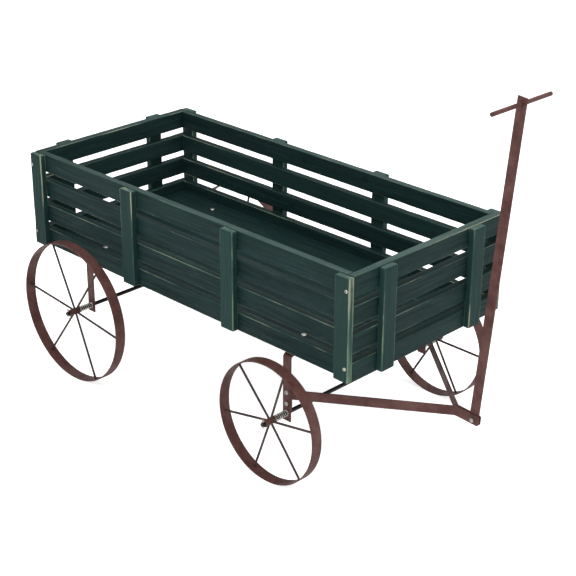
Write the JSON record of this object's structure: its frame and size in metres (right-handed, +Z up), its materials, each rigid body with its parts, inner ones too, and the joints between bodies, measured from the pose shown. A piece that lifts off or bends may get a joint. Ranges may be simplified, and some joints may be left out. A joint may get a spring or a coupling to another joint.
{
  "type": "slatted garden wagon",
  "caption": "Open slatted wooden wagon with a fixed rear axle, a steered front axle on a turntable, spoked flat-band wheels and a tow handle hinged to a steel yoke.",
  "frame": {"origin": "middle of the floor's upper face, halfway along and across the box", "axes": "+X forward towards the tow handle, +Y to the left, +Z up"},
  "size_m": [1.3413, 0.643, 0.9441],
  "materials": {
    "painted_wood": "dark green paint rubbed back to pale wood on the edges, satin",
    "rust_brown_steel": "rust-brown paint, satin",
    "spoke_steel": "dark brown paint, satin",
    "black_axle": "black, semi-gloss",
    "zinc_fastener": "bright zinc plate, slightly dulled",
    "painted_nail": "dark green paint over flush nail heads, satin",
    "spring_steel": "zinc-plated wire",
    "nylon_washer": "matt nylon"
  },
  "bodies": {
    "wagon_box": {"left_slat_bottom": "painted_wood", "left_slat_lower": "painted_wood", "left_slat_upper": "painted_wood", "left_slat_top": "painted_wood", "left_side_battens": "painted_wood", "right_slat_bottom": "painted_wood", "right_slat_lower": "painted_wood", "right_slat_upper": "painted_wood", "right_slat_top": "painted_wood", "right_side_battens": "painted_wood", "front_end_slats": "painted_wood", "front_end_battens": "painted_wood", "rear_end_slats": "painted_wood", "rear_end_battens": "painted_wood", "floor_boards": "painted_wood", "nails": "painted_nail", "corner_screws": "zinc_fastener", "carriage_bolts": "zinc_fastener", "carriage_nuts": "zinc_fastener", "kingpin_bolt": "zinc_fastener", "kingpin_nut": "zinc_fastener", "rear_frame": "rust_brown_steel", "bolster": "rust_brown_steel", "glide_washer": "nylon_washer", "rear_axle": "black_axle", "rear_end_washers": "rust_brown_steel", "rear_cotter_pins": "zinc_fastener", "rear_left_spring": "spring_steel", "rear_right_spring": "spring_steel"},
    "front_gear": {"front_frame": "rust_brown_steel", "front_axle": "black_axle", "front_end_washers": "rust_brown_steel", "front_cotter_pins": "zinc_fastener", "front_left_spring": "spring_steel", "front_right_spring": "spring_steel", "yoke_arm_left": "rust_brown_steel", "yoke_arm_right": "rust_brown_steel", "yoke_bolts": "zinc_fastener", "yoke_nuts": "zinc_fastener", "handle_pivot_bolt": "zinc_fastener", "handle_pivot_nut": "zinc_fastener"},
    "tow_handle": {"handle_bar": "rust_brown_steel", "handle_grip": "rust_brown_steel"},
    "front_left_float": {"front_left_thrust_washer": "zinc_fastener"},
    "front_left_wheel": {"front_left_rim": "rust_brown_steel", "front_left_spokes": "spoke_steel", "front_left_hub": "rust_brown_steel"},
    "front_right_float": {"front_right_thrust_washer": "zinc_fastener"},
    "front_right_wheel": {"front_right_rim": "rust_brown_steel", "front_right_spokes": "spoke_steel", "front_right_hub": "rust_brown_steel"},
    "rear_left_float": {"rear_left_thrust_washer": "zinc_fastener"},
    "rear_left_wheel": {"rear_left_rim": "rust_brown_steel", "rear_left_spokes": "spoke_steel", "rear_left_hub": "rust_brown_steel"},
    "rear_right_float": {"rear_right_thrust_washer": "zinc_fastener"},
    "rear_right_wheel": {"rear_right_rim": "rust_brown_steel", "rear_right_spokes": "spoke_steel", "rear_right_hub": "rust_brown_steel"}
  },
  "joints": [
    {"name": "steering", "type": "hinge", "parent": "wagon_box", "child": "front_gear", "pos_m": [0.345, 0, -0.0255], "axis": [0, 0, 1], "range_deg": [-45, 45]},
    {"name": "handle_tilt", "type": "hinge", "parent": "front_gear", "child": "tow_handle", "pos_m": [0.6955, 0, -0.15], "axis": [0, 1, 0], "range_deg": [-10, 95]},
    {"name": "front_left_side_play", "type": "slide", "parent": "front_gear", "child": "front_left_float", "axis": [0, 1, 0], "range_m": [-0.01, 0], "stiffness_N_per_m": 900, "springref_m": 0.004, "deforming": ["front_left_spring"]},
    {"name": "front_left_spin", "type": "hinge", "parent": "front_left_float", "child": "front_left_wheel", "pos_m": [0.345, 0.2975, -0.179], "axis": [0, 1, 0], "continuous": true},
    {"name": "front_right_side_play", "type": "slide", "parent": "front_gear", "child": "front_right_float", "axis": [0, -1, 0], "range_m": [-0.01, 0], "stiffness_N_per_m": 900, "springref_m": 0.004, "deforming": ["front_right_spring"]},
    {"name": "front_right_spin", "type": "hinge", "parent": "front_right_float", "child": "front_right_wheel", "pos_m": [0.345, -0.2975, -0.179], "axis": [0, 1, 0], "continuous": true},
    {"name": "rear_left_side_play", "type": "slide", "parent": "wagon_box", "child": "rear_left_float", "axis": [0, 1, 0], "range_m": [-0.01, 0], "stiffness_N_per_m": 900, "springref_m": 0.004, "deforming": ["rear_left_spring"]},
    {"name": "rear_left_spin", "type": "hinge", "parent": "rear_left_float", "child": "rear_left_wheel", "pos_m": [-0.362, 0.2975, -0.144], "axis": [0, 1, 0], "continuous": true},
    {"name": "rear_right_side_play", "type": "slide", "parent": "wagon_box", "child": "rear_right_float", "axis": [0, -1, 0], "range_m": [-0.01, 0], "stiffness_N_per_m": 900, "springref_m": 0.004, "deforming": ["rear_right_spring"]},
    {"name": "rear_right_spin", "type": "hinge", "parent": "rear_right_float", "child": "rear_right_wheel", "pos_m": [-0.362, -0.2975, -0.144], "axis": [0, 1, 0], "continuous": true}
  ]
}
